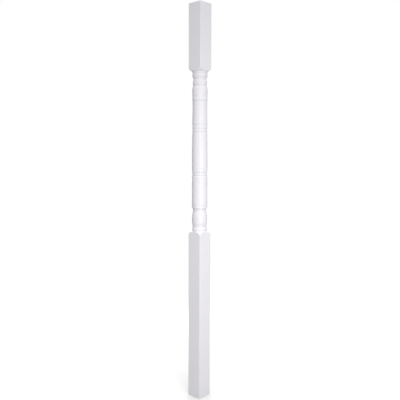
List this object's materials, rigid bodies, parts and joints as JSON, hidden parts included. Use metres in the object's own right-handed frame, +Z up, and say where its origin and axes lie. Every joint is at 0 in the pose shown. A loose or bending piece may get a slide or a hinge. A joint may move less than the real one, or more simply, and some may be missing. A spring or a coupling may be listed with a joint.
{
  "type": "turned porch post",
  "caption": "White-painted timber porch post, square at foot and head, with a round stretch between them turned to drums, rings, a vase and a bulb; it holds up a porch roof and takes a railing.",
  "frame": {"origin": "middle of the square underside of the foot", "axes": "+Z up along the post's own axis; X and Y square to the flat faces of the two blocks"},
  "size_m": [0.0984, 0.0984, 2.4384],
  "materials": {
    "painted_wood": "satin"
  },
  "bodies": {
    "root": {"porch_post": "painted_wood"}
  },
  "joints": []
}
